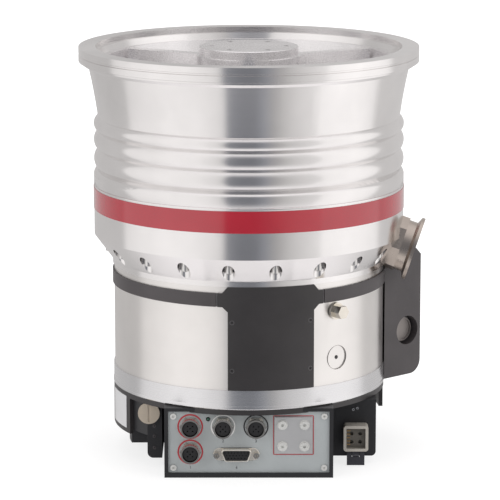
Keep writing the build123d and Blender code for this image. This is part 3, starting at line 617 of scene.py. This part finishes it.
lamp_place = panel_place(left_column + 15.0 * MM, upper_row + 6.4 * MM)
lamp_radius = 1.3 * MM
lamp_profile = [
    (0.01 * MM, 0.9 * MM), (0.8 * MM, 0.75 * MM), (lamp_radius, 0.2 * MM), (lamp_radius, 0), (0.01 * MM, 0),
]
finish_piece("status_lamp", *lathe(lamp_profile, lamp_place, 32), lamp_lens, "board_green")
bezel_profile = [(lamp_radius, 0), (lamp_radius, 0.5 * MM), (1.8 * MM, 0.4 * MM), (1.9 * MM, 0)]
finish_piece("status_lamp_bezel", *lathe(bezel_profile, lamp_place, 32), black_mould, "black_plastic")

valve_low, valve_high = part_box("valve_block")
valve_screw_column = valve_high.x - 6.5 * MM
valve_screw_heights = (17 * MM, 27 * MM, 36 * MM)
valve_screws = [
    screw_on_front(valve_screw_column, z, valve_low.y, 1.5 * MM, 0.5 * MM) for z in valve_screw_heights
]
finish_piece("valve_block_screws", *joined(valve_screws), anodised_trim, "black_anodised")
mains_low, mains_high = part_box("mains_block")
# From the block's left edge and from its top.
mains_screw_spots = ((18.0 * MM, 8.6 * MM), (21.4 * MM, 7.4 * MM))
mains_screws = [
    screw_on_front(mains_low.x + side, mains_high.z - drop, mains_low.y, 1.3 * MM, 0.8 * MM)
    for side, drop in mains_screw_spots
]
finish_piece("mains_block_screws", *joined(mains_screws), screw_steel, "steel")

# ---------------------------------------------------------------- details on the casing wall
cover_azimuth, strap_gap_turn = -80.5, 22.7          # degrees
strap_middle = 153.75 * MM
liner_size = (1.5 * MM, 11.3 * MM, 0.6 * MM)
liners = [
    wall_block(cover_azimuth + side * strap_gap_turn, casing_wall + 0.3 * MM, strap_middle, liner_size)
    for side in (-1, 1)
]
finish_piece("strap_gap_liner", *joined(liners), trim_rim, "black_anodised", smooth=False)

cover_face = casing_wall + 1.45 * MM
rim_bore, rim_radius = 1.5 * MM, 2.3 * MM
rim_profile = [
    (rim_bore, 0), (rim_radius, 0), (rim_radius, 0.10 * MM), (2.0 * MM, 0.30 * MM), (rim_bore, 0.15 * MM),
]
rims = [
    lathe(rim_profile, wall_place(azimuth, cover_face, height), 40)
    for azimuth, _, height in node_spots("cover_plate_screws")
]
finish_piece("cover_plate_screw_rims", *joined(rims), trim_rim, "black_anodised")

plug_azimuth, _, plug_height = node_spots("blind_plug")[0]
# The ring on the bore's edge round the blind plug is darkened with painted shade of the sunk plug's recess.
edge_bore, edge_radius, edge_depth = 10.08 * MM, 10.3 * MM, 0.5 * MM
edge_profile = [
    (edge_bore, -edge_depth), (edge_radius, -edge_depth), (edge_radius, 0.12 * MM), (edge_bore, 0.05 * MM),
]
edge_ring = lathe(edge_profile, wall_place(plug_azimuth, casing_wall, plug_height), 72)
finish_piece("blind_plug_edge_shade", *edge_ring, painted_recess_shade_metal, "casing_aluminium")
plug_face = casing_wall - 1.0 * MM
# The dimple in the plug's face is drawn as a black disc: painted shade in its hollow.
dimple_profile = [(0.3 * MM, 0.02 * MM), (1.5 * MM, 0.02 * MM), (1.7 * MM, 0.25 * MM), (0.3 * MM, 0.08 * MM)]
dimple_ring = lathe(dimple_profile, wall_place(plug_azimuth, plug_face, plug_height), 32)
finish_piece("blind_plug_dimple_shade", *dimple_ring, anodised, "casing_aluminium")

# ---------------------------------------------------------------- contacts and knuckle of the mains inlet
insert_low, insert_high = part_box("mains_inlet_insert")
bar_size = (3.0 * MM, 1.0 * MM, 0.9 * MM)
bar_count, bar_step = 5, 3.0 * MM
top_bar = np.array([insert_low.x + 1.9 * MM, insert_low.y, insert_high.z - 2.6 * MM])
bars = [(box_corners(bar_size) + top_bar - (0, 0, k * bar_step), BOX_FACES) for k in range(bar_count)]
finish_piece("mains_contact_bars", *joined(bars), contact_brass, "coin_beige", smooth=False)
bracket_low, bracket_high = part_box("lever_bracket")
pin_place = Matrix.Translation(((bracket_low.x + bracket_high.x) / 2, -68.0 * MM, 10.75 * MM))
sleeve_bore, sleeve_radius, half_sleeve = 2.2 * MM, 3.2 * MM, 2.9 * MM
sleeve_profile = [
    (sleeve_bore, -half_sleeve), (sleeve_radius, -half_sleeve),
    (sleeve_radius, half_sleeve), (sleeve_bore, half_sleeve),
]
sleeve = lathe(sleeve_profile, pin_place @ Matrix.Rotation(math.pi / 2, 4, "Y"), 40)
finish_piece("lever_knuckle_sleeve", *sleeve, lever_mould, "black_plastic")

# ---------------------------------------------------------------- stage, light and camera
scene = bpy.context.scene
scene.view_settings.view_transform = "Standard"

# The floor glows a little less round the foot of the pump, so that a soft shadow stays under it.
floor_mesh = bpy.data.meshes.new("floor")
span = 6.0
floor_corners = [(-span, -span, 0), (span, -span, 0), (span, span, 0), (-span, span, 0)]
floor_mesh.from_pydata(floor_corners, [], [(0, 1, 2, 3)])
floor = bpy.data.objects.new("floor", floor_mesh)
scene.collection.objects.link(floor)
floor.visible_glossy = False
pale_floor = Finish("pale_floor")
pale_floor.set(Roughness=0.9, Emission_Color=(1, 1, 1, 1), Base_Color=(0.25, 0.25, 0.25, 1))
reach = pale_floor.node("ShaderNodeVectorMath", operation="LENGTH")
pale_floor.link(pale_floor.where, reach.inputs[0])
pale_floor.feed("Emission Strength", pale_floor.fade(reach.outputs["Value"], 0.10, 0.40, low=0.78))
floor_mesh.materials.append(pale_floor.material)

# The studio round the pump: grey walls behind, two white softboxes and a dark gap between them in front.
# Each entry is an azimuth in degrees, 0 towards the camera and 90 to the right, with a brightness.
studio_walls = [
    (-180, 0.55), (-107, 0.56), (-103, 0.84), (-65, 1.03), (-41, 0.99), (-25, 0.86), (-19, 0.76),
    (-16.5, 0.25), (-5, 0.20), (5, 0.20), (12, 0.30), (20, 0.42), (27, 0.56), (35, 0.68), (53, 0.84),
    (56, 1.03), (77, 1.10), (97, 1.06), (109, 0.98), (114, 0.66), (180, 0.60),
]


def wall_colour(level):
    """Warm white where the studio is bright, and a cooler grey in its dark gap."""
    return (level, level * 0.978, level * 0.972) if level > 0.4 else (level * 0.97, level, level * 1.1)


world = bpy.data.worlds.new("studio")
scene.world = world
world.use_nodes = True
world.node_tree.nodes.clear()
studio = Nodes(world.node_tree)
x, y, z = studio.split(studio.node("ShaderNodeTexCoord").outputs["Generated"])
azimuth = studio.math("ARCTAN2", x, studio.math("MULTIPLY", y, -1.0))
turn = studio.math("MULTIPLY_ADD", azimuth, 1 / (2 * math.pi), 0.5)
walls = studio.ramp(turn, [((angle + 180) / 360, wall_colour(level)) for angle, level in studio_walls])
ceiling = studio.node("ShaderNodeMixRGB")
ceiling.inputs["Color2"].default_value = (1.02, 0.99, 1.0, 1)
studio.link(studio.fade(studio.math("ABSOLUTE", z), 0.55, 0.95), ceiling.inputs["Fac"])
studio.link(walls, ceiling.inputs["Color1"])
lit = studio.node("ShaderNodeBackground")
studio.link(ceiling.outputs[0], lit.inputs["Color"])
backdrop = studio.node("ShaderNodeBackground")
backdrop.inputs["Color"].default_value = (1, 1, 1, 1)
seen = studio.node("ShaderNodeLightPath").outputs["Is Camera Ray"]
blend = studio.node("ShaderNodeMixShader")
for socket, source in zip(blend.inputs, (seen, lit.outputs[0], backdrop.outputs[0])):
    studio.link(source, socket)
studio.link(blend.outputs[0], studio.node("ShaderNodeOutputWorld").inputs["Surface"])


def soft_light(name, place, size, power):
    """Soft round lamp aimed at the pump's middle, unseen in reflections, which the studio gives."""
    light = bpy.data.lights.new(name, "AREA")
    light.shape = "DISK"
    light.size = size
    light.energy = power
    lamp = bpy.data.objects.new(name, light)
    scene.collection.objects.link(lamp)
    lamp.location = place
    aim = Vector((0, 0, inlet_face / 2)) - Vector(place)
    lamp.rotation_euler = aim.to_track_quat("-Z", "Y").to_euler()
    lamp.visible_glossy = False


soft_light("left_lamp", (-1.6, -1.7, 1.4), 1.2, 9.0)
soft_light("right_lamp", (1.7, -1.5, 1.5), 1.2, 9.0)
soft_light("top_lamp", (0.0, 0.3, 2.2), 1.4, 8.0)

lens = bpy.data.cameras.new("camera")
lens.lens = CAMERA_LENS
camera = bpy.data.objects.new("camera", lens)
scene.collection.objects.link(camera)
camera.location = (CAMERA_SIDE, -CAMERA_DISTANCE, inlet_face + CAMERA_RISE)
camera.rotation_euler = (math.radians(90 - CAMERA_PITCH), 0, 0)
scene.camera = camera
